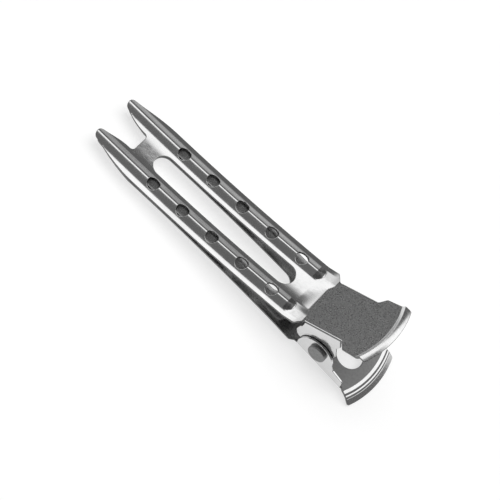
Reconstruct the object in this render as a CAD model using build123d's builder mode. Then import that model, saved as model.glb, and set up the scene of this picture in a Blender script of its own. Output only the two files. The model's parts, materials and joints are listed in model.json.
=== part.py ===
from build123d import *
import math
import os

# Sectioning clip: two stamped sheet-metal leaves hinged on one rivet and closed by a torsion spring.
# Stations are distances in mm from the prong tips, heights are measured from the closed clip's
# mid-plane, and the clip is symmetric left to right about y = 0.

# Sheet and jaws
SHEET = 0.6
JAW_WIDTH = 19.58
JAW_GAP = 0.1                # half of the gap where the closed jaws come nearest
BOW_STATION = 20.7           # station of that nearest point
BOW_RADIUS = 416.7           # radius of each jaw's inner face, seen from the side
BEND_STATION = 68.3          # jaw ends and thumb tab begins
REACH = 12.0                 # half width that every leaf cutter spans
DEPTH = 40.0                 # half height that every leaf cutter spans

# Prongs, window and ribs
PRONG_CENTRE = 6.28
TIP_SETBACK = 0.9            # how far the rounded tip stands out from its corners
TIP_HALF = 1.68
TAPER_END = 13.5             # station where the prong reaches full width
WINDOW_FRONT = 15.3
WINDOW_REAR = 62.0
WINDOW_WIDTH = 5.96
BRIDGE_FRONT = 9.7
BRIDGE_CORNER = 1.0
RIB_HALF = 2.08
RIB_HEIGHT = 1.1
RIB_RADIUS = (RIB_HALF**2 + RIB_HEIGHT**2) / (2 * RIB_HEIGHT)
RIB_END = 66.6               # centre of the rounded run-out
HOLE_RADIUS = 1.75
HOLE_FIRST = 19.6
HOLE_PITCH = 10.0
HOLE_COUNT = 5

# Hinge
PIVOT_STATION = 78.8
SHANK_RADIUS = 1.25
HEAD_RADIUS = 2.56
CLINCH_RADIUS = 2.4
HEAD_THICKNESS = 0.8
HEAD_EDGE = 0.25
FIXED_CLEARANCE = 0.02
RUNNING_CLEARANCE = 0.05
UPPER_EAR = 7.8              # middle of the upper leaf's ear sheet, across
LOWER_EAR = 8.76             # middle of the lower leaf's ear sheet, across

# Thumb tabs
UPPER_SLOPE = 27.4
LOWER_SLOPE = 7.5
UPPER_EAR_FRONT = 71.5
UPPER_EAR_REAR = 82.5
UPPER_EAR_BOSS = 3.4
FLARE_HALF = 9.75
UPPER_LIP = 88.5             # station where the lip starts, on the centre line
LOWER_LIP = 91.8
LIP_PLAN_RADIUS = 24.0
LIP_HALF = 10.15
LOWER_HOLE_STATION = 84.9
LOWER_HOLE_RADIUS = 3.8
LOWER_EAR_RADIUS = 5.6       # arch of the lower ear
LOWER_EAR_CENTRE = (78.5, -2.2)
WALL_END = 90.6

# Torsion spring
WIRE = 0.9
COIL_RADIUS = 2.5
COIL_LENGTH = 11.0
COIL_TURNS = 10
UPPER_LEG_SLOPE = 57.4
UPPER_LEG_LENGTH = 9.4
LOWER_LEG_SLOPE = -18.5
LOWER_LEG_LENGTH = 7.2

# Resting attitude: the clip lies on its lower lip and its lower prong tips.
REST_PITCH = 3.92
TIP_POINT = (-47.69, 0.0, 2.317)

PITCH = math.radians(REST_PITCH)
ALONG = Vector(math.cos(PITCH), 0, math.sin(PITCH))
ABOVE = Vector(-math.sin(PITCH), 0, math.cos(PITCH))
plan = Plane(origin=TIP_POINT, x_dir=ALONG, z_dir=ABOVE)
side = Plane(origin=TIP_POINT, x_dir=ALONG, z_dir=(0, -1, 0))


def place(station, height, across=0.0):
    """Point given by its station, its height over the mid-plane and its offset across."""
    return plan.from_local_coords((station, across, height))


def jaw_face(station):
    """Height of a jaw's inner face over the mid-plane."""
    return JAW_GAP + BOW_RADIUS - math.sqrt(BOW_RADIUS**2 - (station - BOW_STATION) ** 2)


def tab_plane(start_height, slope, outward):
    """Plane on a tab's outer face: x runs towards the lip and z points away from the mid-plane."""
    angle = math.radians(slope)
    x_dir = ALONG * math.cos(angle) + ABOVE * math.sin(angle)
    z_dir = (ABOVE * math.cos(angle) - ALONG * math.sin(angle)) * outward
    return Plane(origin=place(BEND_STATION, start_height), x_dir=x_dir, z_dir=z_dir)


OUTER_AT_BEND = jaw_face(BEND_STATION) + SHEET
upper_tab = tab_plane(OUTER_AT_BEND, UPPER_SLOPE, 1)
lower_tab = tab_plane(-OUTER_AT_BEND, -LOWER_SLOPE, -1)


def strip(sign, slope, end_station):
    """Bent strip of sheet seen from the side: the bowed jaw and the straight thumb tab."""
    rise = math.tan(math.radians(slope))
    drop = SHEET / math.cos(math.radians(slope))
    jaw_slope = (BEND_STATION - BOW_STATION) / BOW_RADIUS
    inner_shift = (SHEET - drop) / (jaw_slope - rise)
    tab_rise = rise * (end_station - BEND_STATION)
    middle = (BOW_STATION + BEND_STATION) / 2
    bend_in = (BEND_STATION + inner_shift, jaw_face(BEND_STATION + inner_shift) * sign)
    tab_end_in = (end_station, (OUTER_AT_BEND - drop + tab_rise) * sign)
    tab_end_out = (end_station, (OUTER_AT_BEND + tab_rise) * sign)
    bend_out = (BEND_STATION, OUTER_AT_BEND * sign)
    with BuildSketch(side) as profile:
        with BuildLine():
            inner = ThreePointArc((0, jaw_face(0) * sign), (middle, jaw_face(middle) * sign), bend_in)
            Line(inner @ 1, tab_end_in)
            Line(tab_end_in, tab_end_out)
            Line(tab_end_out, bend_out)
            outer = ThreePointArc(
                bend_out,
                (middle, (jaw_face(middle) + SHEET) * sign),
                (0, (jaw_face(0) + SHEET) * sign),
            )
            Line(outer @ 1, inner @ 0)
        make_face()
    extrude(profile.sketch, amount=REACH, both=True)


def rib(sign, radius, depth, mode):
    """Bowed rib of circular section along both prongs, with its rounded run-out at the rear."""
    centre_radius = BOW_RADIUS - SHEET + depth
    bow_centre = (JAW_GAP + BOW_RADIUS) * sign
    bow_axis = Axis(place(BOW_STATION, bow_centre), (0, 1, 0))
    end_angle = math.asin((RIB_END - BOW_STATION) / centre_radius)
    end_height = bow_centre - centre_radius * math.cos(end_angle) * sign
    sweep_angle = math.degrees(end_angle + math.asin((BOW_STATION + 1) / centre_radius))
    radial = (ALONG * math.sin(end_angle) - ABOVE * math.cos(end_angle) * sign).normalized()
    section = Plane(
        origin=place(RIB_END, end_height), x_dir=(0, 1, 0), z_dir=Vector(0, 1, 0).cross(radial)
    )
    for across in (-PRONG_CENTRE, PRONG_CENTRE):
        with BuildSketch(section) as rod:
            with Locations((across, 0)):
                Circle(radius)
        revolve(rod.sketch, axis=bow_axis, revolution_arc=sweep_angle * sign, mode=mode)
        with Locations(place(RIB_END, end_height, across)):
            Sphere(radius, mode=mode)


def trim_inside(sign):
    """Cut away all that lies on the inner side of the jaw's inner face."""
    front = -RIB_RADIUS
    rear = RIB_END + 2 * RIB_RADIUS
    past = -2 * RIB_RADIUS * sign
    with BuildSketch(side) as inside:
        with BuildLine():
            ThreePointArc(
                (front, jaw_face(front) * sign),
                (BOW_STATION, JAW_GAP * sign),
                (rear, jaw_face(rear) * sign),
            )
            Polyline(
                (rear, jaw_face(rear) * sign), (rear, past), (front, past), (front, jaw_face(front) * sign)
            )
        make_face()
    extrude(inside.sketch, amount=REACH, both=True, mode=Mode.SUBTRACT)


def outline(rear_edge):
    """Half outline of the blank, mirrored: rounded prong tip, taper, long side, then rear_edge."""
    inner_edge = WINDOW_WIDTH / 2
    tip_low = (TIP_SETBACK, PRONG_CENTRE - TIP_HALF)
    tip_high = (TIP_SETBACK, PRONG_CENTRE + TIP_HALF)
    corner_mid = BRIDGE_CORNER * (1 - math.sqrt(0.5))
    with BuildSketch(plan) as blank:
        with BuildLine():
            Line((BRIDGE_FRONT, 0), (BRIDGE_FRONT, inner_edge - BRIDGE_CORNER))
            ThreePointArc(
                (BRIDGE_FRONT, inner_edge - BRIDGE_CORNER),
                (BRIDGE_FRONT - corner_mid, inner_edge - corner_mid),
                (BRIDGE_FRONT - BRIDGE_CORNER, inner_edge),
            )
            Spline(
                (BRIDGE_FRONT - BRIDGE_CORNER, inner_edge), tip_low, tangents=[(-1, 0), (-1, 0.26)]
            )
            ThreePointArc(tip_low, (0, PRONG_CENTRE), tip_high)
            Spline(tip_high, (TAPER_END, JAW_WIDTH / 2), tangents=[(1, 0.16), (1, 0)])
            Polyline((TAPER_END, JAW_WIDTH / 2), *rear_edge, (rear_edge[-1][0], 0), (BRIDGE_FRONT, 0))
        make_face()
        mirror(about=Plane(origin=TIP_POINT, z_dir=(0, 1, 0)))
    extrude(blank.sketch, amount=DEPTH, both=True, mode=Mode.INTERSECT)


def cut_window():
    """Long window between the prongs."""
    with BuildSketch(plan) as window:
        with Locations(((WINDOW_FRONT + WINDOW_REAR) / 2, 0)):
            SlotOverall(WINDOW_REAR - WINDOW_FRONT, WINDOW_WIDTH)
    extrude(window.sketch, amount=DEPTH, both=True, mode=Mode.SUBTRACT)


def punch_vents():
    """Row of vent holes along the rib of each prong."""
    row_middle = HOLE_FIRST + HOLE_PITCH * (HOLE_COUNT - 1) / 2
    with BuildSketch(plan) as vents:
        with Locations((row_middle, 0)):
            with GridLocations(HOLE_PITCH, 2 * PRONG_CENTRE, HOLE_COUNT, 2):
                Circle(HOLE_RADIUS)
    extrude(vents.sketch, amount=DEPTH, both=True, mode=Mode.SUBTRACT)


def lip(tab, slope, start_station, face_points, back_points):
    """Curved lip at the end of a thumb tab, revolved about an axis square to the tab."""
    start = (start_station - BEND_STATION) / math.cos(math.radians(slope))
    centre = start - LIP_PLAN_RADIUS
    with BuildSketch(tab) as trim:
        with Locations((start + SHEET, 0)):
            Rectangle(LIP_HALF, 2 * REACH)
        with Locations((centre, 0)):
            Circle(LIP_PLAN_RADIUS, mode=Mode.SUBTRACT)
    extrude(trim.sketch, amount=2 * SHEET, both=True, mode=Mode.SUBTRACT)

    half_angle = math.asin(LIP_HALF / (LIP_PLAN_RADIUS + face_points[-1][0]))
    radial = tab.x_dir * math.cos(half_angle) - tab.y_dir * math.sin(half_angle)
    section = Plane(
        origin=tab.from_local_coords((centre, 0, 0)), x_dir=radial, z_dir=radial.cross(tab.z_dir)
    )
    shift = LIP_PLAN_RADIUS
    face = [(shift + x, y) for x, y in face_points]
    back = [(shift + x, y) for x, y in back_points]
    with BuildSketch(section) as profile:
        with BuildLine():
            ThreePointArc(*face)
            Line(face[-1], back[-1])
            ThreePointArc(*reversed(back))
            Line(back[0], face[0])
        make_face()
    axis = Axis(tab.from_local_coords((centre, 0, 0)), tab.z_dir)
    revolve(profile.sketch, axis=axis, revolution_arc=2 * math.degrees(half_angle))


def pivot_hole(clearance):
    """Hole for the rivet through both ears of a leaf."""
    with BuildSketch(side) as bore:
        with Locations((PIVOT_STATION, 0)):
            Circle(SHANK_RADIUS + clearance)
    extrude(bore.sketch, amount=REACH, both=True, mode=Mode.SUBTRACT)


def tab_height(station, slope):
    """Height of a tab's outer face, without its sign."""
    return OUTER_AT_BEND + (station - BEND_STATION) * math.tan(math.radians(slope))


# Upper leaf: jaw, steep thumb tab, ears folded down inside the lower leaf's ears
with BuildPart() as upper_leaf:
    rib(1, RIB_RADIUS, RIB_RADIUS - RIB_HEIGHT, Mode.ADD)
    trim_inside(1)
    strip(1, UPPER_SLOPE, UPPER_LIP + 1)
    rib(1, RIB_RADIUS - SHEET, RIB_RADIUS - RIB_HEIGHT, Mode.SUBTRACT)
    ear_face = UPPER_EAR + SHEET / 2
    outline(
        [
            (BEND_STATION + 1.7, JAW_WIDTH / 2),
            (BEND_STATION + 2.6, JAW_WIDTH / 2 - 0.6),
            (UPPER_EAR_FRONT, ear_face),
            (UPPER_EAR_REAR - 1.6, ear_face),
            (UPPER_EAR_REAR - 0.4, ear_face + 0.5),
            (UPPER_EAR_REAR, FLARE_HALF),
            (UPPER_LIP + 1, FLARE_HALF),
        ]
    )
    cut_window()
    punch_vents()
    lip(
        upper_tab,
        UPPER_SLOPE,
        UPPER_LIP,
        [(0, 0), (1.3, 0.95), (2.95, 0.05)],
        [(0, -SHEET), (1.3, 0.35), (2.5, -0.32)],
    )
    for ear_side in (-1, 1):
        with BuildSketch(side.offset(ear_side * UPPER_EAR)):
            with BuildLine():
                Polyline(
                    (UPPER_EAR_FRONT, tab_height(UPPER_EAR_FRONT, UPPER_SLOPE) - SHEET / 2),
                    (UPPER_EAR_FRONT, 2.4),
                    (PIVOT_STATION - UPPER_EAR_BOSS, 0),
                    (PIVOT_STATION + UPPER_EAR_BOSS, 0),
                    (UPPER_EAR_REAR, 3.0),
                    (UPPER_EAR_REAR - 0.9, 6.2),
                    (UPPER_EAR_REAR - 0.9, tab_height(UPPER_EAR_REAR - 0.9, UPPER_SLOPE) - SHEET / 2),
                    close=True,
                )
            make_face()
            with Locations((PIVOT_STATION, 0)):
                Circle(UPPER_EAR_BOSS)
        extrude(amount=SHEET / 2, both=True)
    pivot_hole(RUNNING_CLEARANCE)

# Lower leaf: mirrored jaw, nearly straight tab with a round hole, ears folded up outside
with BuildPart() as lower_leaf:
    rib(-1, RIB_RADIUS, RIB_RADIUS - RIB_HEIGHT, Mode.ADD)
    trim_inside(-1)
    strip(-1, LOWER_SLOPE, LOWER_LIP + 1)
    rib(-1, RIB_RADIUS - SHEET, RIB_RADIUS - RIB_HEIGHT, Mode.SUBTRACT)
    wall_face = LOWER_EAR + SHEET / 2
    outline(
        [
            (BEND_STATION + 3.6, JAW_WIDTH / 2),
            (BEND_STATION + 4.6, wall_face),
            (WALL_END - 0.6, wall_face),
            (WALL_END, FLARE_HALF),
            (LOWER_LIP + 1, FLARE_HALF),
        ]
    )
    cut_window()
    lip(
        lower_tab,
        LOWER_SLOPE,
        LOWER_LIP,
        [(0, -SHEET), (2.0, -0.05), (3.62, 1.65)],
        [(0, 0), (1.7, 0.5), (3.05, 1.9)],
    )
    floor_front = SHEET / 2 - tab_height(BEND_STATION + 4.6, LOWER_SLOPE)
    floor_rear = SHEET / 2 - tab_height(WALL_END, LOWER_SLOPE)
    for ear_side in (-1, 1):
        with BuildSketch(side.offset(ear_side * LOWER_EAR)):
            with BuildLine():
                Polyline(
                    (BEND_STATION + 4.6, floor_front),
                    (LOWER_EAR_CENTRE[0] - LOWER_EAR_RADIUS, LOWER_EAR_CENTRE[1]),
                    (LOWER_EAR_CENTRE[0] + LOWER_EAR_RADIUS, LOWER_EAR_CENTRE[1]),
                    (WALL_END - 2, floor_rear + 2.0),
                    (WALL_END, floor_rear + SHEET),
                    (WALL_END, floor_rear),
                    close=True,
                )
            make_face()
            with BuildLine():
                arch = CenterArc(LOWER_EAR_CENTRE, LOWER_EAR_RADIUS, 0, 180)
                Line(arch @ 1, arch @ 0)
            make_face()
        extrude(amount=SHEET / 2, both=True)
    hole_reach = (LOWER_HOLE_STATION - BEND_STATION) / math.cos(math.radians(LOWER_SLOPE))
    with BuildSketch(lower_tab):
        with Locations((hole_reach, 0)):
            Circle(LOWER_HOLE_RADIUS)
    extrude(amount=-2 * SHEET, mode=Mode.SUBTRACT)
    pivot_hole(FIXED_CLEARANCE)

# Hinge rivet: shank, factory head and clinched head
with BuildPart() as hinge_rivet:
    ear_outer = LOWER_EAR + SHEET / 2
    with BuildSketch(side):
        with Locations((PIVOT_STATION, 0)):
            Circle(SHANK_RADIUS)
    extrude(amount=ear_outer, both=True)
    for head_side, head_radius in ((1, HEAD_RADIUS), (-1, CLINCH_RADIUS)):
        with BuildSketch(side.offset(head_side * ear_outer)):
            with Locations((PIVOT_STATION, 0)):
                Circle(head_radius)
        extrude(amount=head_side * HEAD_THICKNESS)
    outer_rims = hinge_rivet.edges().filter_by(GeomType.CIRCLE).sort_by(Axis.Y)
    fillet([outer_rims[0], outer_rims[-1]], radius=HEAD_EDGE)

# Torsion spring: close coil round the rivet with one leg on each thumb tab
upper_leg_angle = math.radians(UPPER_LEG_SLOPE)
pivot_low = place(PIVOT_STATION, 0, -COIL_LENGTH / 2)
coil_start = ABOVE * math.cos(upper_leg_angle) - ALONG * math.sin(upper_leg_angle)
coil_plane = Plane(origin=pivot_low, x_dir=coil_start, z_dir=(0, 1, 0))
end_turn = (180 + LOWER_LEG_SLOPE - UPPER_LEG_SLOPE) / 360
coil_pitch = COIL_LENGTH / (COIL_TURNS + end_turn)

coil = coil_plane * Helix(coil_pitch, COIL_LENGTH, COIL_RADIUS, lefthand=True)

with BuildPart() as torsion_spring:
    with BuildSketch(Plane(origin=coil @ 0, z_dir=coil % 0)):
        Circle(WIRE / 2)
    sweep(path=coil, is_frenet=True)
    wire_ends = torsion_spring.faces().filter_by(GeomType.PLANE).sort_by(Axis.Y)
    extrude(wire_ends[0], amount=UPPER_LEG_LENGTH)
    extrude(wire_ends[-1], amount=LOWER_LEG_LENGTH)

os.makedirs("parts", exist_ok=True)

upper_leaf.part.label = "upper_leaf"
export_step(upper_leaf.part, "parts/upper_leaf.step")

lower_leaf.part.label = "lower_leaf"
export_step(lower_leaf.part, "parts/lower_leaf.step")

hinge_rivet.part.label = "hinge_rivet"
export_step(hinge_rivet.part, "parts/hinge_rivet.step")

torsion_spring.part.label = "torsion_spring"
export_step(torsion_spring.part, "parts/torsion_spring.step")
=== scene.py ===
import bpy
import json
import math
import numpy as np
from mathutils import Matrix, Vector
from mathutils.geometry import delaunay_2d_cdt


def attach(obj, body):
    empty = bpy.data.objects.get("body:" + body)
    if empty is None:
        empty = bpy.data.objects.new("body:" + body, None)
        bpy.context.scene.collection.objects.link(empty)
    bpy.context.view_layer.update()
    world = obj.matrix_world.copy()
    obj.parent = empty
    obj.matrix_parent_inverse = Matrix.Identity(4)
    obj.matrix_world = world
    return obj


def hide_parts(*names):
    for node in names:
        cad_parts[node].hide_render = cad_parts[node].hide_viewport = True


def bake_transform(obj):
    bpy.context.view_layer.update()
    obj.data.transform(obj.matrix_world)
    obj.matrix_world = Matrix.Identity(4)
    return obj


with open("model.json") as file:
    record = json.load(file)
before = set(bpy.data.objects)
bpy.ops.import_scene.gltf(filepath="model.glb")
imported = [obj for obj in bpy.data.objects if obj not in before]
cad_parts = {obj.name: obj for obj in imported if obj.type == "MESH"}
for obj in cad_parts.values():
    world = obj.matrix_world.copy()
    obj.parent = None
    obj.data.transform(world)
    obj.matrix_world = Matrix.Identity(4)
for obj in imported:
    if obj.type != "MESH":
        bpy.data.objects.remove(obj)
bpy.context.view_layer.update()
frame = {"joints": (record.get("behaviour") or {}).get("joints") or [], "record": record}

# ---------------------------------------------------------------- sizes, in millimetres
# Leaves are drawn in the clip's own frame: x is the station from the prong tips, y runs across,
# and height is measured outward from the closed clip's mid-plane. The rivet sits at PIVOT_STATION.
MM = 0.001
PIVOT_STATION = 78.8
UPPER_TAB_SLOPE = math.radians(27.4)
LOWER_TAB_SLOPE = math.radians(7.5)
SHEET = 0.6
JAW_GAP = 0.1                # from the mid-plane to the inner face of each jaw
BOW_STATION = 20.7           # where the bowed jaws come closest
BOW_RADIUS = 416.7
BEND_STATION = 68.3          # where the plane of the tab meets the jaw
RAMP_START = 66.0
RAMP_ONLY = RAMP_START + 3   # behind this station the bowed jaw no longer counts
RAMP_SOFTNESS = 0.03
CREASE_STATION = 69.75       # where the ramp meets the tab on the centre line
CREASE_RETREAT = 0.9         # how much further back the crease and the panel lie near the sides
CREASE_SOFTNESS = 0.015
RELIEF_END = BEND_STATION + 3
LIP_POSSIBLE = BEND_STATION + 10
SLOPE_STEP = 0.01
JAW_HALF = 9.79
PRONG_CENTRE = 6.28
RIB_HALF = 2.08
RIB_HEIGHT = 0.95
RIB_CREST = 0.4              # how softly the rib turns over at its crest
RIB_END = 65.3
RIB_FILLET = 0.1
RUN_OUT = 1.25               # how much steeper the rib ends than its sides
NOSE_LENGTH = 6              # over this length a rib with a nose sinks into the prong
NOSE_FADE = 2.0              # added at the tip to the distance from the crest, which lowers the rib
ARCH_LIFT = 0.15
ARCH_DROP = 0.17             # slope of the flanges beside each rib
VALLEY_HALF = 0.3            # flat middle of the valley between the ribs
VALLEY_EXTRA = 0.9           # how much wider that is on the bridge
VALLEY_FRONT, VALLEY_REAR = 15.5, 19.0
HOLE_RADIUS = 1.75
HOLE_STATIONS = [19.6 + 10.0 * i for i in range(5)]
WINDOW_FRONT, WINDOW_REAR, WINDOW_HALF = 15.3, 62.0, 2.98
BRIDGE_FRONT = 9.7
NOTCH_MOUTH = 8.2            # in front of this the notch widens
TAPER_REAR = 14.5            # behind this the prongs have their full width
PRONG_SQUEEZE = 2.0          # distance from the prong's middle at which it is drawn in fully
PRONG_ROOT = 60.0            # station at which the leaf outlines take over from the prongs
EDGE_ROUND = 0.13
RIM_ANGLES = [math.radians(a) for a in (22.5, 45, 67.5, 90)]
RIM_SPACING = 0.3            # between points along every edge
SEED_GAP = 0.14              # least distance between inner points and the rim
EAR_EDGE = JAW_HALF + 0.4    # in the blank, edges beyond this belong to the ears
LIP_PLAN_RADIUS = 24.0
LIP_HALF = 10.1
LIP_STEPS = 24
UPPER_LIP, LOWER_LIP = 88.3, 91.6
UPPER_PANEL, LOWER_PANEL = 69.9, 73.0      # where the satin panels begin
PANEL_HALF = 9.9             # behind the ears the panels reach this far across
PAINTED_SPOT_FLAT, PAINTED_SPOT_REACH = 0.3, 1.7           # painted dark reflection on each rib end: half its core, and its reach
PAINTED_SPOT_FRONT = RIB_END - 0.5
FOLD_RADIUS = 0.75
UPPER_EAR_FACE, LOWER_EAR_FACE = 8.1, 8.92
UPPER_FOLD = UPPER_EAR_FACE - FOLD_RADIUS
LOWER_FOLD = LOWER_EAR_FACE - FOLD_RADIUS
UPPER_BORE, LOWER_BORE = 1.3, 1.27
UPPER_EAR_RADIUS = 3.4
EAR_ARCH_CENTRE, EAR_ARCH_RADIUS = (78.5, 2.2), 5.6     # rounded top of the lower ears
HANG_HOLE_STATION, HANG_HOLE_RADIUS = 84.9, 3.8
LOWER_TIP_DRAW = 1.2         # how far the lower prongs are drawn in at their tips
LOWER_RIB_NOSE = 7.0
RIVET_RADIUS = 2.56
CLINCH_RADIUS = 2.4
RIVET_SEGMENTS = 72
WIRE_RADIUS = 0.45
COIL_RADIUS = 2.5
COIL_HALF = 5.5
COIL_TURNS = 10
COIL_TURN_STEPS = 36
UPPER_LEG_ANGLE, LOWER_LEG_ANGLE = 57.4, -18.5     # degrees above the clip's mid-plane
UPPER_LEG_LENGTH, LOWER_LEG_LENGTH = 8.5, 6.2

# ---------------------------------------------------------------- clip frame in the row frame
hinge = frame["joints"][0]
pivot = Vector(hinge["pos_m"])
mounts = {m["name"]: m for m in frame["record"]["mounts"]}
tab_normal = Vector(mounts["upper_tab_face"]["axis"])
pitch = math.atan2(-tab_normal.x, tab_normal.z) - UPPER_TAB_SLOPE
ALONG = Vector((math.cos(pitch), 0, math.sin(pitch)))
ACROSS = Vector((0, 1, 0))
ABOVE = Vector((-math.sin(pitch), 0, math.cos(pitch)))
TO_ROW = np.array([ALONG, ACROSS, ABOVE])


def row_points(points, sign=1):
    """Clip-frame points in mm, with height outward from the mid-plane, as row-frame metres."""
    local = np.asarray(points, float) * [1, 1, sign] - [PIVOT_STATION, 0, 0]
    return local @ TO_ROW * MM + np.array(pivot)


def row_vectors(vectors, sign=1):
    """Clip-frame directions as row-frame directions."""
    return np.asarray(vectors, float) * [1, 1, sign] @ TO_ROW


# ---------------------------------------------------------------- leaf surface
def smooth(a, b, x):
    t = np.clip((x - a) / (b - a), 0, 1)
    return t * t * (3 - 2 * t)


def soft_max(a, b, softness):
    """The larger of a and b, with a rounded change where they cross."""
    return 0.5 * (a + b + np.hypot(a - b, softness))


class Leaf:
    """Outer face of one stamped leaf, as a map from a flat blank (s, t) to the clip frame.

    s is the station and t runs across the flat sheet. u is the distance along the tab from the bend.
    """

    def __init__(self, slope, lip_start, lip_curve, fold_line, fold_front, fold_rear, nose=0.0):
        self.slope, self.nose = slope, nose
        self.bend_height = float(self.jaw(BEND_STATION))
        self.lip_start = self.along_tab(lip_start)
        self.lip_centre = self.lip_start - LIP_PLAN_RADIUS
        self.lip_curve = lip_curve
        self.fold_line, self.fold_front, self.fold_rear = fold_line, fold_front, fold_rear

    @staticmethod
    def jaw(s):
        return JAW_GAP + SHEET + BOW_RADIUS - np.sqrt(BOW_RADIUS**2 - (s - BOW_STATION) ** 2)

    def along_tab(self, s):
        return (s - BEND_STATION) / math.cos(self.slope)

    def station(self, u):
        return BEND_STATION + u * math.cos(self.slope)

    def height(self, s, t):
        """Bowed jaw, a short ramp behind the ribs, then the flat tab, meeting at a crease."""
        jaw = self.jaw(s)
        tab = self.bend_height + (s - BEND_STATION) * math.tan(self.slope)
        crease = CREASE_STATION + CREASE_RETREAT * smooth(3.8, 6.2, np.abs(t))
        top = self.bend_height + (crease - BEND_STATION) * math.tan(self.slope)
        foot = self.jaw(RAMP_START)
        ramp = foot + (top - foot) * (s - RAMP_START) / (crease - RAMP_START)
        front = np.where(s > RAMP_ONLY, ramp, soft_max(jaw, ramp, RAMP_SOFTNESS))
        return soft_max(front, tab, CREASE_SOFTNESS)

    def rib(self, s, t):
        """Rib height over the flat flange, with its fillet, its rounded run-out and its nose."""
        across = np.abs(np.abs(t) - PRONG_CENTRE)
        past = np.clip(s - RIB_END, 0, None)
        slope = RIB_HEIGHT / (math.hypot(RIB_HALF, RIB_CREST) - RIB_CREST)
        faded = NOSE_FADE * (1 - smooth(self.nose - NOSE_LENGTH, self.nose, s))
        distance = np.hypot(across, past * RUN_OUT) + faded
        cap = RIB_HEIGHT - slope * (np.hypot(distance, RIB_CREST) - RIB_CREST)
        excess = 0.5 * (np.sqrt(RIB_HEIGHT**2 + RIB_FILLET**2) - RIB_HEIGHT)
        return 0.5 * (cap + np.sqrt(cap**2 + RIB_FILLET**2)) - excess

    def arch(self, s, t):
        """Cross-section of the jaw: each flange slopes away from its rib, with a valley between them."""
        half = PRONG_CENTRE - RIB_HALF
        flat = VALLEY_HALF + VALLEY_EXTRA * (1 - smooth(VALLEY_FRONT, VALLEY_REAR, s))
        beyond = np.clip(np.minimum(np.abs(t), half) - flat, 0, None)
        inner = ARCH_DROP * (beyond**2 / (2 * (half - flat)) - (half - flat) / 2)
        outer = -ARCH_DROP * np.clip(np.abs(t) - PRONG_CENTRE - RIB_HALF, 0, None)
        fade = 1 - smooth(BEND_STATION - 2.5, BEND_STATION + 1.5, s)
        return (ARCH_LIFT + inner + outer) * fade

    def fold_ears(self, s, t, sheet):
        """Sheet points with the ears folded towards the mid-plane."""
        rise = self.height(s + SLOPE_STEP, t) - self.height(s - SLOPE_STEP, t)
        nx = -rise / (2 * SLOPE_STEP)
        length = np.hypot(nx, 1)
        nx, nz = nx / length, 1 / length
        beyond = np.clip(np.abs(t) - self.fold_line, 0, None)
        depth = np.clip(beyond - FOLD_RADIUS * (math.pi / 2 - 1), 0, None)
        station = s + depth * math.sin(self.slope)
        angle = math.pi / 2 * smooth(self.fold_front - 0.15, self.fold_front, station)
        angle = angle * (1 - smooth(self.fold_rear, self.fold_rear + 0.25, s))
        turned = np.minimum(beyond / FOLD_RADIUS, angle)
        rest = beyond - FOLD_RADIUS * turned
        down = FOLD_RADIUS * (1 - np.cos(turned)) + rest * np.sin(angle)
        out = FOLD_RADIUS * np.sin(turned) + rest * np.cos(angle)
        x, _, h = np.moveaxis(sheet, -1, 0)
        ear = np.stack([x - nx * down, np.sign(t) * (self.fold_line + out), h - nz * down], -1)
        return np.where((beyond > 0)[..., None], ear, sheet)

    def curl_lip(self, s, t, sheet):
        """Sheet points with the lip curled, following a circle in the plane of the tab."""
        u = self.along_tab(s)
        radius = np.hypot(u - self.lip_centre, t)
        over = radius - LIP_PLAN_RADIUS
        step = np.clip(over, 0, None)
        reach = np.interp(step, self.lip_curve[:, 0], self.lip_curve[:, 1])
        rise = np.interp(step, self.lip_curve[:, 0], self.lip_curve[:, 2])
        scale = (LIP_PLAN_RADIUS + reach) / np.maximum(radius, 1e-6)
        lip_u = self.lip_centre + (u - self.lip_centre) * scale
        cos, sin = math.cos(self.slope), math.sin(self.slope)
        lip = np.stack([
            BEND_STATION + lip_u * cos - rise * sin, t * scale, self.bend_height + lip_u * sin + rise * cos
        ], -1)
        return np.where(((over > 0) & (s > LIP_POSSIBLE))[..., None], lip, sheet)

    def points(self, s, t):
        """The formed sheet over blank coordinates."""
        s, t = np.asarray(s, float), np.asarray(t, float)
        relief = (self.rib(s, t) + self.arch(s, t)) * (s < RELIEF_END)
        sheet = np.stack([s, t, self.height(s, t) + relief], -1)
        return self.curl_lip(s, t, self.fold_ears(s, t, sheet))

    def points_and_normals(self, s, t, step=0.02):
        ds = self.points(s + step, t) - self.points(s - step, t)
        dt = self.points(s, t + step) - self.points(s, t - step)
        n = np.cross(ds, dt)
        n /= np.linalg.norm(n, axis=1, keepdims=True)
        return self.points(s, t), n


def lip_profile(turns):
    """Table (arc length, reach, rise) of a lip made of (length, turn) pieces; turn is in degrees."""
    rows, reach, rise, total, heading = [(0, 0, 0)], 0.0, 0.0, 0.0, 0.0
    for length, turn in turns:
        for _ in range(LIP_STEPS):
            heading += math.radians(turn) / LIP_STEPS
            reach += math.cos(heading) * length / LIP_STEPS
            rise += math.sin(heading) * length / LIP_STEPS
            total += length / LIP_STEPS
            rows.append((total, reach, rise))
    return np.array(rows)


# ---------------------------------------------------------------- blanks
def arc(centre, radius, start, end, count):
    angles = np.radians(np.linspace(start, end, count))
    return [(centre[0] + radius * math.cos(a), centre[1] + radius * math.sin(a)) for a in angles]


def bezier(a, b, c, d, count):
    a, b, c, d = (np.array(p, float) for p in (a, b, c, d))
    rows = []
    for k in np.linspace(0, 1, count):
        point = (1 - k) ** 3 * a + 3 * (1 - k) ** 2 * k * b + 3 * (1 - k) * k * k * c + k**3 * d
        rows.append(tuple(point))
    return rows


def resample(loop, spacing):
    """Even points along a closed loop, keeping its corners."""
    rows = []
    for a, b in zip(loop, loop[1:] + loop[:1]):
        length = math.dist(a, b)
        count = max(1, math.ceil(length / spacing))
        dx, dy = b[0] - a[0], b[1] - a[1]
        rows += [(a[0] + dx * k / count, a[1] + dy * k / count) for k in range(count)]
    return rows


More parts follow.
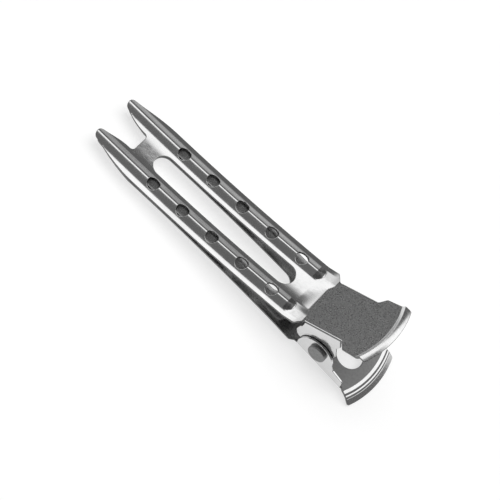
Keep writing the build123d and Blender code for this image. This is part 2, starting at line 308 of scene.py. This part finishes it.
def round_corners(loop, radii):
    """Loop with each listed corner replaced by a tangent arc."""
    rows = []
    count = len(loop)
    for i, point in enumerate(loop):
        radius = radii.get(i, 0)
        if not radius:
            rows.append(point)
            continue
        p = np.array(point, float)
        a = np.array(loop[i - 1], float) - p
        b = np.array(loop[(i + 1) % count], float) - p
        a /= np.linalg.norm(a)
        b /= np.linalg.norm(b)
        half = math.acos(np.clip(a @ b, -1, 1)) / 2
        setback = radius / math.tan(half)
        centre = p + (a + b) / np.linalg.norm(a + b) * radius / math.sin(half)
        start, end = p + a * setback - centre, p + b * setback - centre
        first = math.atan2(start[1], start[0])
        turn = (math.atan2(end[1], end[0]) - first + math.pi) % (2 * math.pi) - math.pi
        steps = max(4, int(abs(turn) * radius / 0.12))
        for k in range(steps + 1):
            angle = first + turn * k / steps
            rows.append((
                centre[0] + radius * math.cos(angle), centre[1] + radius * math.sin(angle)
            ))
    return rows


def front_half(drawn_in):
    """Right half of the blank's front, from the bridge's middle to the full width.

    drawn_in pulls the prong in from its tip and sides, which hides the lower prongs under the upper ones.
    """
    corner = (NOTCH_MOUTH, WINDOW_HALF)
    rows = round_corners([(BRIDGE_FRONT, 0), (BRIDGE_FRONT, WINDOW_HALF), corner], {1: 1.0})
    rows += bezier(corner, (5.5, 3.1), (3.2, 3.95), (1.0, 4.62), 12)[1:]
    rows += bezier((1.0, 4.62), (0.15, 4.95), (-0.05, 5.7), (0.0, PRONG_CENTRE), 9)[1:]
    rows += bezier((0.0, PRONG_CENTRE), (-0.05, 6.86), (0.15, 7.6), (1.0, 7.94), 9)[1:]
    rows += bezier((1.0, 7.94), (4.5, 8.5), (9.0, 9.75), (TAPER_REAR, JAW_HALF), 14)[1:]
    drawn = []
    for x, y in rows:
        share = drawn_in * max(0.0, 1 - x / TAPER_REAR)
        if y <= WINDOW_HALF:
            y *= 1 + share / WINDOW_HALF
        else:
            y -= share * max(-1.0, min(1.0, (y - PRONG_CENTRE) / PRONG_SQUEEZE))
        drawn.append((x + share, y))
    return drawn


def blank(rear, drawn_in=0.0):
    """Whole closed outline from its right half; rear runs from full width back to the centre line."""
    right = front_half(drawn_in) + rear
    left = [(x, -y) for x, y in reversed(right) if abs(y) > 1e-9]
    return right + left


def slot_loop(front, rear, half):
    return arc((rear - half, 0), half, -90, 90, 28) + arc((front + half, 0), half, 90, 270, 28)


def circle_loop(x, y, radius, count=40):
    return arc((x, y), radius, 0, 360 * (count - 1) / count, count)


def doubled_area(loop):
    """Twice the area of a loop, positive where it runs counter-clockwise."""
    return sum(a[0] * b[1] - b[0] * a[1] for a, b in zip(loop, loop[1:] + loop[:1]))


def inset(loop, amount):
    """Loop moved inwards by amount, or outwards where amount is negative."""
    p = np.array(loop)
    along = np.roll(p, -1, axis=0) - np.roll(p, 1, axis=0)
    normal = np.stack([-along[:, 1], along[:, 0]], 1) / np.linalg.norm(along, axis=1, keepdims=True)
    return [tuple(q) for q in p + normal * amount * np.sign(doubled_area(loop))]


def inside(points, loop):
    """Even-odd test of many points against one loop."""
    x, y = points[:, 0], points[:, 1]
    result = np.zeros(len(points), bool)
    for (x1, y1), (x2, y2) in zip(loop, loop[1:] + loop[:1]):
        if y1 == y2:
            continue
        hit = (y1 > y) != (y2 > y)
        result ^= hit & (x < (x2 - x1) * (y - y1) / (y2 - y1) + x1)
    return result


def in_sheet(points, loops):
    """Which points lie inside the first loop and outside all the others."""
    keep = inside(points, loops[0])
    for loop in loops[1:]:
        keep &= ~inside(points, loop)
    return keep


def clear_of(points, loops, gap, batch=2000):
    """Which points are further than gap from every point of every loop."""
    keep = np.ones(len(points), bool)
    rim = np.array([p for loop in loops for p in loop])
    for start in range(0, len(points), batch):
        part = points[start:start + batch, None]
        distance = np.min(np.hypot(part[..., 0] - rim[:, 0], part[..., 1] - rim[:, 1]), axis=1)
        keep[start:start + batch] = distance > gap
    return keep


def grid(xs, ys):
    gx, gy = np.meshgrid(xs, ys)
    return np.stack([gx.ravel(), gy.ravel()], 1)


def mirrored(values):
    """The values and their negatives, each once."""
    return sorted({round(side * v, 4) for v in values for side in (1, -1)})


# ---------------------------------------------------------------- sheet mesh
# finish tags: bright plating, satin panel, dark edges that also serve as painted dark reflections, and
# painted shade
BRIGHT_FACE, SATIN_FACE, DARK_FACE, PAINTED_SHADE_FACE = range(4)


def add_piece(name, mesh):
    """Smooth-shaded object of a mesh, linked to the scene."""
    mesh.polygons.foreach_set("use_smooth", [True] * len(mesh.polygons))
    piece = bpy.data.objects.new(name, mesh)
    bpy.context.scene.collection.objects.link(piece)
    return piece


def triangulate(loops, seeds):
    """Flat mesh between the loops: its vertices, counter-clockwise faces and each loop's vertex numbers."""
    coords, edges, starts = [], [], []
    for loop in loops:
        start = len(coords)
        starts.append(start)
        coords += loop
        edges += [(start + i, start + (i + 1) % len(loop)) for i in range(len(loop))]
    coords += [tuple(p) for p in seeds]
    verts, _, faces, origin, _, _ = delaunay_2d_cdt([Vector(c) for c in coords], edges, [], 0, 1e-5)
    flat = np.array([tuple(v) for v in verts])
    centres = np.array([flat[list(f)].mean(axis=0) for f in faces])
    faces = [f for f, ok in zip(faces, in_sheet(centres, loops)) if ok]
    for k, f in enumerate(faces):
        a, b, c = flat[f[0]], flat[f[1]], flat[f[2]]
        if (b[0] - a[0]) * (c[1] - a[1]) - (b[1] - a[1]) * (c[0] - a[0]) < 0:
            faces[k] = f[::-1]
    number = {o: v for v, sources in enumerate(origin) for o in sources}
    rims = [[number[start + i] for i in range(len(loop))] for start, loop in zip(starts, loops)]
    return flat, faces, rims


def sheet_mesh(name, leaf, sign, outline, holes, seeds, region):
    """Closed sheet-metal mesh: outer face, inner face and a rounded rim round every edge."""
    loops = [inset(resample(outline, RIM_SPACING), EDGE_ROUND)]
    loops += [inset(resample(hole, RIM_SPACING), -EDGE_ROUND) for hole in holes]
    seeds = seeds[in_sheet(seeds, loops)]
    flat, faces, rims = triangulate(loops, seeds[clear_of(seeds, loops, SEED_GAP)])
    p, n = leaf.points_and_normals(flat[:, 0], flat[:, 1])
    count = len(flat)
    points, normals = [p, p - n * SHEET], [n, -n]
    polygons = [tuple(f) for f in faces] + [tuple(i + count for i in reversed(f)) for f in faces]
    tags = [region(*flat[list(f)].mean(axis=0), side) for side in ("outer", "inner") for f in faces]
    base = 2 * count
    for loop, ids in zip(loops, rims):
        outer_loop = loop is loops[0]
        solid_left = (doubled_area(loop) > 0) == outer_loop
        here, up = p[ids], n[ids]
        away = np.cross(np.roll(here, -1, axis=0) - np.roll(here, 1, axis=0), up)
        if not solid_left:
            away = -away
        away /= np.linalg.norm(away, axis=1, keepdims=True)
        for a in RIM_ANGLES:
            down = up * EDGE_ROUND * (1 - math.cos(a))
            points.append(here + away * EDGE_ROUND * math.sin(a) - down)
            normals.append(away * math.sin(a) + up * math.cos(a))
        for a in reversed(RIM_ANGLES):
            down = up * (SHEET - EDGE_ROUND * (1 - math.cos(a)))
            points.append(here + away * EDGE_ROUND * math.sin(a) - down)
            normals.append(away * math.sin(a) - up * math.cos(a))
        rings = [ids]
        for _ in range(2 * len(RIM_ANGLES)):
            rings.append(list(range(base, base + len(ids))))
            base += len(ids)
        rings.append([i + count for i in ids])
        for depth, (upper, lower) in enumerate(zip(rings, rings[1:])):
            for i, (_, across) in enumerate(loop):
                j = (i + 1) % len(ids)
                quad = (upper[i], lower[i], lower[j], upper[j])
                polygons.append(quad if solid_left else quad[::-1])
                plated = abs(across) > EAR_EDGE or not outer_loop and depth < 2
                tags.append(BRIGHT_FACE if plated else DARK_FACE)
    if sign < 0:
        polygons = [f[::-1] for f in polygons]
    mesh = bpy.data.meshes.new(name)
    mesh.from_pydata(row_points(np.concatenate(points), sign).tolist(), [], polygons)
    for finish in (BRIGHT, SATIN, EDGE_AND_PAINTED_REFLECTION, PAINTED_SHADE_INSIDE):
        mesh.materials.append(finish)
    mesh.polygons.foreach_set("material_index", tags)
    piece = add_piece(name, mesh)
    mesh.update()
    normals = row_vectors(np.concatenate(normals), sign)
    mesh.normals_split_custom_set_from_vertices(normals.tolist())
    return piece


# ---------------------------------------------------------------- materials
def material(name, base, metallic, roughness):
    m = bpy.data.materials.new(name)
    m.use_nodes = True
    shader = m.node_tree.nodes["Principled BSDF"]
    shader.inputs["Base Color"].default_value = (*base, 1)
    shader.inputs["Metallic"].default_value = metallic
    shader.inputs["Roughness"].default_value = roughness
    return m, m.node_tree.nodes, m.node_tree.links, shader


def noise(nodes, links, scale, detail=3.0, stretch=(1, 1, 1)):
    """Object-space noise; scale is in features per metre."""
    coordinate = nodes.new("ShaderNodeTexCoord")
    mapping = nodes.new("ShaderNodeMapping")
    mapping.inputs["Scale"].default_value = stretch
    texture = nodes.new("ShaderNodeTexNoise")
    texture.inputs["Scale"].default_value = scale
    texture.inputs["Detail"].default_value = detail
    links.new(coordinate.outputs["Object"], mapping.inputs["Vector"])
    links.new(mapping.outputs["Vector"], texture.inputs["Vector"])
    return texture.outputs["Fac"]


NOISE_LOW, NOISE_HIGH = 0.3, 0.7     # the part of the noise's range that is used


def span(nodes, links, value, low, high):
    """Noise value remapped to low..high."""
    remap = nodes.new("ShaderNodeMapRange")
    remap.inputs["From Min"].default_value = NOISE_LOW
    remap.inputs["From Max"].default_value = NOISE_HIGH
    remap.inputs["To Min"].default_value = low
    remap.inputs["To Max"].default_value = high
    links.new(value, remap.inputs["Value"])
    return remap.outputs["Result"]


def colour_ramp(nodes, links, value, stops):
    """Ramp through (position, colour) stops, driven by value."""
    ramp = nodes.new("ShaderNodeValToRGB")
    elements = ramp.color_ramp.elements
    elements[0].position, elements[1].position = stops[0][0], stops[-1][0]
    elements[0].color, elements[1].color = (*stops[0][1], 1), (*stops[-1][1], 1)
    for position, colour in stops[1:-1]:
        elements.new(position).color = (*colour, 1)
    links.new(value, ramp.inputs["Fac"])
    return ramp.outputs["Color"]


def tint(nodes, links, value, dark, light, target):
    """Colour between dark and light, from noise."""
    colour = colour_ramp(nodes, links, value, [(NOISE_LOW, dark), (NOISE_HIGH, light)])
    links.new(colour, target)


def bump(nodes, links, value, strength, distance, shader):
    node = nodes.new("ShaderNodeBump")
    node.inputs["Strength"].default_value = strength
    node.inputs["Distance"].default_value = distance
    links.new(value, node.inputs["Height"])
    links.new(node.outputs["Normal"], shader.inputs["Normal"])


def steel(
    name, base, roughness, grain, rough_range, dark, light, relief,
    depth=0.00002, detail=3.0, stretch=(1, 1, 1), tone=None,
):
    """Metal with grain in its roughness, relief and tone; tone is a separate noise scale for the tone."""
    m, nodes, links, shader = material(name, base, 1.0, roughness)
    fine = noise(nodes, links, grain, detail, stretch)
    broad = noise(nodes, links, tone) if tone else fine
    links.new(span(nodes, links, fine, *rough_range), shader.inputs["Roughness"])
    tint(nodes, links, broad, dark, light, shader.inputs["Base Color"])
    bump(nodes, links, fine, relief, depth, shader)
    return m


def grey(value):
    return (value, value, value)


BRIGHT = steel(
    "bright_plated_steel", grey(0.86), 0.16, 2600, (0.11, 0.2), grey(0.64), grey(0.7), 0.05,
    detail=2.0, stretch=(0.25, 1, 1), tone=160,
)
SATIN = steel(
    "satin_stamped_steel", grey(0.72), 0.34, 3600, (0.24, 0.42), grey(0.33), grey(0.47), 0.22, detail=2.0
)
RIVET = steel(
    "rivet_steel", grey(0.42), 0.38, 1900, (0.3, 0.5), grey(0.17), grey(0.27), 0.3, depth=0.00003
)
SPRING = steel(
    "spring_wire", (0.55, 0.55, 0.56), 0.25, 2400, (0.2, 0.34), (0.46, 0.46, 0.47), (0.6, 0.6, 0.61),
    0.1, detail=2.0, stretch=(1, 0.3, 1),
)
# darker steel for the sheared edges, also laid on the rib ends as a painted dark reflection
EDGE_AND_PAINTED_REFLECTION = steel("sheared_edge_and_painted_reflection_steel", grey(0.3), 0.4, 2400, (0.32, 0.5), grey(0.14), grey(0.22), 0.2)
# darker steel on the inner face of the lower tab: painted shade under the upper tab
PAINTED_SHADE_INSIDE = steel("painted_shade_inside_steel", grey(0.32), 0.4, 1500, (0.46, 0.6), grey(0.28), grey(0.4), 0.1)


# ---------------------------------------------------------------- leaf outlines and finishes
def ear_point(leaf, station, height):
    """Blank coordinates (s, t) of an ear point given by its station and height in the clip frame."""
    cos, sin = math.cos(leaf.slope), math.sin(leaf.slope)
    dx, dh = station - BEND_STATION, height - leaf.bend_height
    u, down = dx * cos + dh * sin, dx * sin - dh * cos
    return leaf.station(u), leaf.fold_line + FOLD_RADIUS * math.pi / 2 + down - FOLD_RADIUS


def ear_circle(leaf, centre, radius, start, end, count):
    return [ear_point(leaf, *p) for p in arc(centre, radius, start, end, count)]


def leaf_holes(leaf, own, bore_radius):
    """All openings of a blank: the window, the leaf's own holes, and the rivet bores of both ears."""
    bore = ear_circle(leaf, (PIVOT_STATION, 0), bore_radius, 0, 348, 30)
    bores = [[(s, side * t) for s, t in bore] for side in (-1, 1)]
    return [slot_loop(WINDOW_FRONT, WINDOW_REAR, WINDOW_HALF), *own, *bores]


def finish_of(leaf, panel_start, inside_tab):
    """Function that picks a face's finish from its place in the blank and its side of the sheet, with
    painted dark reflections on the rib ends and painted shade on inner faces.
    """

    def region(s, t, side):
        across = max(0.0, abs(abs(t) - PRONG_CENTRE) - PAINTED_SPOT_FLAT)
        run_out = math.hypot(across, max(0.0, s - RIB_END) * RUN_OUT)
        # the rounded rib ends get the darker edge steel: a painted dark reflection
        if side == "outer" and s > PAINTED_SPOT_FRONT and run_out < PAINTED_SPOT_REACH:
            return DARK_FACE
        start = panel_start + CREASE_RETREAT * float(smooth(4.0, 6.5, abs(t)))
        from_lip = math.hypot(leaf.along_tab(s) - leaf.lip_centre, t) - LIP_PLAN_RADIUS
        if s > start and from_lip < 0:
            behind_ear = s > leaf.fold_rear + 0.2
            if abs(t) < leaf.fold_line - 0.05 or behind_ear and abs(t) < PANEL_HALF:
                # on the lower leaf the inside_tab finish is painted shade under the upper tab
                return inside_tab if side == "inner" else SATIN_FACE
            return BRIGHT_FACE
        # inner faces of the jaws take the darker satin steel as painted shade between the leaves
        return SATIN_FACE if side == "inner" and s < start else BRIGHT_FACE

    return region


def seeds_for(leaf, flat_depth, lip_arc):
    """Inner points: fine across ribs, bends, folds and the lip, coarser where the sheet is flat."""
    rib_y = np.concatenate([
        np.arange(0, 4.0, 0.55), np.arange(4.0, 8.6, 0.19), np.arange(8.7, 9.8, 0.35)
    ])
    jaw = grid(np.arange(0.3, RIB_END, 0.55), mirrored(rib_y))
    run_out = grid(np.arange(RIB_END, BEND_STATION + 3.4, 0.2), mirrored(np.arange(0.1, 9.8, 0.24)))
    fold_y = np.concatenate([
        np.arange(0, leaf.fold_line - 0.2, 0.7),
        leaf.fold_line + np.arange(-0.15, FOLD_RADIUS * 1.6 + 0.2, 0.11),
        leaf.fold_line + FOLD_RADIUS * 1.6 + 0.4 + np.arange(0, flat_depth, 0.6),
    ])
    lip_front = leaf.station(leaf.lip_start) - 2.6
    tab = grid(np.arange(BEND_STATION + 3.5, lip_front + 1.6, 0.5), mirrored(fold_y))
    radii = LIP_PLAN_RADIUS + np.concatenate([np.arange(-1.2, -0.05, 0.3), np.arange(0.0, lip_arc, 0.06)])
    angle, radius = grid(np.radians(np.arange(-27, 27.01, 0.85)), radii).T
    lip = np.stack([leaf.station(leaf.lip_centre + radius * np.cos(angle)), radius * np.sin(angle)], 1)
    before_lip = np.hypot(leaf.along_tab(tab[:, 0]) - leaf.lip_centre, tab[:, 1]) < LIP_PLAN_RADIUS - 1.4
    tab = tab[before_lip | (np.abs(tab[:, 1]) > 10.6)]
    return np.concatenate([jaw, run_out, tab, lip])


def lip_edge(leaf, lip_arc, half):
    """Outer edge of the lip in the blank, from its right corner to the centre line."""
    reach = LIP_PLAN_RADIUS + leaf.lip_curve[-1, 1]
    corner = math.degrees(math.asin(half / reach))
    rows = arc((leaf.lip_centre, 0), LIP_PLAN_RADIUS + lip_arc, corner, 0, 26)
    return [(leaf.station(x), y) for x, y in rows]


# ---------------------------------------------------------------- the two leaves
def upper_leaf():
    curve = lip_profile([(0.2, 38), (1.0, 0), (0.35, -68), (1.75, -9)])
    lip_arc = curve[-1, 0]
    leaf = Leaf(UPPER_TAB_SLOPE, UPPER_LIP, curve, UPPER_FOLD, fold_front=71.25, fold_rear=81.2)
    rear = round_corners(
        [
            (PRONG_ROOT, JAW_HALF),
            (69.3, JAW_HALF),
            (70.9, 7.75),
            (71.45, 7.75),
            ear_point(leaf, 71.5, 4.2),
            ear_point(leaf, 71.4, 0.3),
            ear_point(leaf, 72.4, -1.2),
            ear_point(leaf, PIVOT_STATION - 3.1, -1.4),
        ],
        {1: 0.5, 2: 0.15, 5: 0.8, 6: 0.8},
    )
    rear += ear_circle(leaf, (PIVOT_STATION, 0), UPPER_EAR_RADIUS, 205, 355, 18)
    rear += round_corners(
        [
            ear_point(leaf, 82.6, 0.9),
            ear_point(leaf, 82.8, 2.9),
            ear_point(leaf, 81.6, 6.1),
            ear_point(leaf, 82.3, 7.7),
            ear_point(leaf, 81.7, 9.1),
            (81.2, 8.1),
            (81.45, 7.7),
            (81.9, 8.5),
            (82.7, 9.75),
            (86.5, 9.8),
        ],
        {1: 0.8, 2: 1.6, 3: 0.7, 4: 0.3, 6: 0.25, 7: 0.6, 8: 0.5},
    )
    lip = lip_edge(leaf, lip_arc, LIP_HALF - 0.1)
    rear = rear[:-1] + round_corners([(85.5, 9.8), *lip], {1: 0.5})[1:]
    vents = [
        circle_loop(x, side * PRONG_CENTRE, HOLE_RADIUS) for x in HOLE_STATIONS for side in (-1, 1)
    ]
    piece = sheet_mesh(
        "upper_leaf_sheet", leaf, 1, blank(rear), leaf_holes(leaf, vents, UPPER_BORE),
        seeds_for(leaf, 13.0, lip_arc), finish_of(leaf, UPPER_PANEL, SATIN_FACE),
    )
    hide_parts("upper_leaf")
    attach(piece, "upper")


def lower_leaf():
    curve = lip_profile([
        (0.05, 7.5), (0.6, 0), (0.05, 23), (0.4, 0), (0.3, -23), (0.25, 0),
        (0.05, 27), (0.2, 0), (0.05, 13), (0.1, 0), (0.2, -12), (1.7, 0),
    ])
    lip_arc = curve[-1, 0]
    leaf = Leaf(
        LOWER_TAB_SLOPE, LOWER_LIP, curve, LOWER_FOLD, fold_front=72.8, fold_rear=88.9, nose=LOWER_RIB_NOSE
    )
    rear = round_corners(
        [
            (PRONG_ROOT, JAW_HALF),
            (71.0, JAW_HALF),
            (72.3, 8.75),
            (72.95, 8.75),
            ear_point(leaf, 73.0, 3.0),
            ear_point(leaf, 72.92, 2.2),
        ],
        {1: 0.7, 2: 0.2},
    )
    rear += ear_circle(leaf, EAR_ARCH_CENTRE, EAR_ARCH_RADIUS, 184, 345, 30)
    rear += round_corners(
        [
            ear_point(leaf, 84.6, 2.0),
            ear_point(leaf, 88.3, 3.2),
            ear_point(leaf, 88.7, 4.6),
            (88.75, 8.75),
            (89.3, 8.7),
            (89.7, 8.95),
        ],
        {1: 0.5},
    )
    lip = lip_edge(leaf, lip_arc, LIP_HALF - 0.5)
    rear += round_corners([rear[-1], *lip], {1: 0.5})[1:]
    hang_hole = circle_loop(HANG_HOLE_STATION, 0, HANG_HOLE_RADIUS, 72)
    # the lower tab's inner face gets the darker steel as painted shade
    piece = sheet_mesh(
        "lower_leaf_sheet", leaf, -1, blank(rear, LOWER_TIP_DRAW), leaf_holes(leaf, [hang_hole], LOWER_BORE),
        seeds_for(leaf, 8.0, lip_arc), finish_of(leaf, LOWER_PANEL, PAINTED_SHADE_FACE),
    )
    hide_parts("lower_leaf")
    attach(piece, "lower")


# ---------------------------------------------------------------- rivet and spring
def lathe(name, profile, finish):
    """Solid of revolution about the rivet axis; profile is (radius, y) in mm from pole to pole."""
    points, faces = [], []
    for k in range(RIVET_SEGMENTS):
        angle = 2 * math.pi * k / RIVET_SEGMENTS
        for r, y in profile[1:-1]:
            points.append((PIVOT_STATION + r * math.cos(angle), y, r * math.sin(angle)))
    rows = len(profile) - 2
    first, last = len(points), len(points) + 1
    points += [(PIVOT_STATION, y, 0) for _, y in (profile[0], profile[-1])]
    for k in range(RIVET_SEGMENTS):
        a, b = k * rows, (k + 1) % RIVET_SEGMENTS * rows
        faces += [(a + i, a + i + 1, b + i + 1, b + i) for i in range(rows - 1)]
        faces += [(first, a, b), (last, b + rows - 1, a + rows - 1)]
    mesh = bpy.data.meshes.new(name)
    mesh.from_pydata(row_points(points).tolist(), [], faces)
    mesh.materials.append(finish)
    return add_piece(name, mesh)


def hinge_rivet():
    """Shank with a flat factory head on the near side and a slightly domed clinched head on the far side."""
    seat = LOWER_EAR_FACE + 0.01
    near = [
        (0, -9.80), (1.3, -9.82), (2.1, -9.84), (2.36, -9.83), (2.5, -9.76), (RIVET_RADIUS, -9.6),
        (RIVET_RADIUS, -seat - 0.18), (2.5, -seat - 0.03), (2.42, -seat), (1.25, -seat),
    ]
    far = [
        (1.25, seat), (2.2, seat), (2.36, seat + 0.07), (CLINCH_RADIUS, 9.25), (2.3, 9.52),
        (1.9, 9.7), (1.2, 9.81), (0.6, 9.8), (0, 9.74),
    ]
    piece = lathe("hinge_rivet_turned", near + far, RIVET)
    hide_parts("hinge_rivet")
    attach(piece, "lower")
    crisp = piece.modifiers.new("soft_edges", "EDGE_SPLIT")
    crisp.split_angle = math.radians(50)


def direction(angle):
    """Unit vector in the clip's plane of symmetry, angle radians above its mid-plane."""
    return np.array([math.cos(angle), 0, math.sin(angle)])


def torsion_spring():
    """Close coil round the rivet; the upper leg lies along the upper leaf and the lower leg along the lower
    leaf.
    """
    start = math.radians(90 + UPPER_LEG_ANGLE)
    end = math.radians(270 + LOWER_LEG_ANGLE) + 2 * math.pi * COIL_TURNS
    centre = np.array([PIVOT_STATION, 0, 0])
    coil = []
    steps = COIL_TURNS * COIL_TURN_STEPS
    for k in range(steps + 1):
        a = start + (end - start) * k / steps
        y = -COIL_HALF + 2 * COIL_HALF * k / steps
        coil.append(centre + [COIL_RADIUS * math.cos(a), y, COIL_RADIUS * math.sin(a)])
    # each leg leaves the coil, bends at a knee and ends in a foot along its tab
    leg_up, leg_low = direction(math.radians(UPPER_LEG_ANGLE)), direction(math.radians(LOWER_LEG_ANGLE))
    foot_up, foot_low = direction(UPPER_TAB_SLOPE), direction(-LOWER_TAB_SLOPE)
    knee_up, knee_low = coil[0] + leg_up * UPPER_LEG_LENGTH, coil[-1] + leg_low * LOWER_LEG_LENGTH
    upper_leg = [knee_up + foot_up * d for d in (2.6, 1.4, 0.7)]
    upper_leg += [knee_up + foot_up * 0.25 - leg_up * 0.05]
    upper_leg += [coil[0] + leg_up * d for d in (7.9, 6.0, 4.0, 2.0, 0.8)]
    lower_leg = [coil[-1] + leg_low * d for d in (0.8, 2.0, 4.0, 5.6)]
    lower_leg += [knee_low + foot_low * 0.2 - leg_low * 0.05]
    lower_leg += [knee_low + foot_low * d for d in (0.7, 1.6, 2.4)]
    line = upper_leg + coil + lower_leg
    curve = bpy.data.curves.new("torsion_spring_line", "CURVE")
    curve.dimensions = "3D"
    spline = curve.splines.new("POLY")
    spline.points.add(len(line) - 1)
    rows = row_points(np.array(line))
    for point, row in zip(spline.points, rows):
        point.co = (*row, 1)
    curve.bevel_depth = WIRE_RADIUS * MM
    curve.bevel_resolution = 4
    curve.use_fill_caps = True
    helper = bpy.data.objects.new("torsion_spring_helper", curve)
    bpy.context.scene.collection.objects.link(helper)
    bpy.context.view_layer.update()
    evaluated = helper.evaluated_get(bpy.context.evaluated_depsgraph_get())
    mesh = bpy.data.meshes.new_from_object(evaluated)
    bpy.data.objects.remove(helper)
    mesh.materials.clear()
    mesh.materials.append(SPRING)
    piece = add_piece("torsion_spring_wire", mesh)
    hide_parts("torsion_spring")
    low = row_points([(PIVOT_STATION, COIL_HALF, 0)])[0]
    high = row_points([(PIVOT_STATION, -COIL_HALF, 0)])[0]
    tuple(low)
    tuple(high)
    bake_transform(piece)


# ---------------------------------------------------------------- studio
def floor():
    bpy.ops.mesh.primitive_plane_add(size=6.0, location=(0, 0, -0.00002))
    plane = bpy.context.object
    plane.name = "studio_floor"
    m, nodes, links, shader = material("pale_paper", (0.42, 0.42, 0.42), 0.0, 0.9)
    shader.inputs["Specular IOR Level"].default_value = 0.0
    shader.inputs["Emission Color"].default_value = (1, 1, 1, 1)
    shader.inputs["Emission Strength"].default_value = 0.62
    plane.data.materials.append(m)


def arithmetic(nodes, links, operation, first, second):
    """Maths node; second is a socket or a number."""
    node = nodes.new("ShaderNodeMath")
    node.operation = operation
    links.new(first, node.inputs[0])
    if isinstance(second, float):
        node.inputs[1].default_value = second
    else:
        links.new(second, node.inputs[1])
    return node.outputs[0]


def studio_world():
    """Surroundings seen in the metal: an overhead softbox, dark studio walls and a pale horizon.

    Brightness depends on the angle round the X axis, along the clip. Camera rays see plain white instead.
    """
    world = bpy.data.worlds.new("studio")
    bpy.context.scene.world = world
    world.use_nodes = True
    nodes, links = world.node_tree.nodes, world.node_tree.links
    nodes.clear()
    out = nodes.new("ShaderNodeOutputWorld")
    coordinate = nodes.new("ShaderNodeTexCoord")
    split = nodes.new("ShaderNodeSeparateXYZ")
    links.new(coordinate.outputs["Generated"], split.inputs["Vector"])
    turn = arithmetic(nodes, links, "ARCTAN2", split.outputs["Z"], split.outputs["Y"])
    # the softbox hangs lower fore and aft of the middle
    place = nodes.new("ShaderNodeMapRange")
    place.inputs["From Min"].default_value = -1.0
    links.new(split.outputs["X"], place.inputs["Value"])
    drops = [(0.11, 0.0), (0.19, 0.28), (0.38, 0.28), (0.425, 0.03), (0.46, 0.0), (0.51, 0.0), (0.58, 0.6)]
    stops = [(position, grey(drop)) for position, drop in drops]
    sag = colour_ramp(nodes, links, place.outputs["Result"], stops)
    shifted = arithmetic(nodes, links, "ADD", turn, sag)
    half_turns = arithmetic(nodes, links, "DIVIDE", shifted, math.pi)
    levels = [
        (0.0, 0.35), (0.05, 0.31), (0.12, 0.10), (0.30, 0.095), (0.348, 0.13), (0.395, 0.95),
        (0.54, 1.0), (0.60, 0.12), (0.93, 0.10), (1.0, 0.3),
    ]
    stops = [(position, grey(level)) for position, level in levels]
    stripes = colour_ramp(nodes, links, half_turns, stops)
    # towards the rear the stripes give way to an even dark wall
    ends = nodes.new("ShaderNodeMapRange")
    ends.interpolation_type = "SMOOTHSTEP"
    for socket, value in (("From Min", 0.54), ("From Max", 0.66), ("To Min", 0.0), ("To Max", 1.0)):
        ends.inputs[socket].default_value = value
    links.new(split.outputs["X"], ends.inputs["Value"])
    walls = nodes.new("ShaderNodeMixRGB")
    links.new(ends.outputs["Result"], walls.inputs["Fac"])
    links.new(stripes, walls.inputs["Color1"])
    walls.inputs["Color2"].default_value = (0.12, 0.12, 0.12, 1)
    reflected = nodes.new("ShaderNodeBackground")
    links.new(walls.outputs["Color"], reflected.inputs["Color"])
    reflected.inputs["Strength"].default_value = 1.45
    plain = nodes.new("ShaderNodeBackground")
    plain.inputs["Color"].default_value = (1, 1, 1, 1)
    plain.inputs["Strength"].default_value = 1.0
    path = nodes.new("ShaderNodeLightPath")
    mix = nodes.new("ShaderNodeMixShader")
    links.new(path.outputs["Is Camera Ray"], mix.inputs["Fac"])
    links.new(reflected.outputs[0], mix.inputs[1])
    links.new(plain.outputs[0], mix.inputs[2])
    links.new(mix.outputs[0], out.inputs["Surface"])


def top_fill():
    """Broad soft light from above, which leaves no reflection of its own."""
    location = (0.1, 0.2, 1.4)
    data = bpy.data.lights.new("top_fill", "AREA")
    data.shape = "RECTANGLE"
    data.size, data.size_y = 1.6, 1.6
    data.energy = 14
    light = bpy.data.objects.new("top_fill", data)
    light.location = location
    light.rotation_euler = Vector(location).to_track_quat("Z", "Y").to_euler()
    light.visible_glossy = False
    bpy.context.scene.collection.objects.link(light)


def camera():
    """Camera at the reference viewing angle; its pose is given in the clip's own frame."""
    back = row_vectors([(0.0745, -0.5062, 0.8592)])[0]
    up = row_vectors([(-0.6791, 0.6052, 0.4155)])[0]
    right = np.cross(up, back)
    target = row_points([(43.75, 0, 0)])[0]
    distance = 0.632
    data = bpy.data.cameras.new("view_camera")
    data.sensor_width = 36
    data.lens = 179.9
    data.shift_x = 0.0253
    data.shift_y = -0.0287
    data.clip_start, data.clip_end = 0.01, 20
    cam = bpy.data.objects.new("view_camera", data)
    rows = [(right[i], up[i], back[i], target[i] + back[i] * distance) for i in range(3)]
    cam.matrix_world = Matrix((*rows, (0, 0, 0, 1)))
    bpy.context.scene.collection.objects.link(cam)
    bpy.context.scene.camera = cam


upper_leaf()
lower_leaf()
hinge_rivet()
torsion_spring()
floor()
studio_world()
top_fill()
camera()
bpy.context.scene.view_settings.view_transform = "Standard"
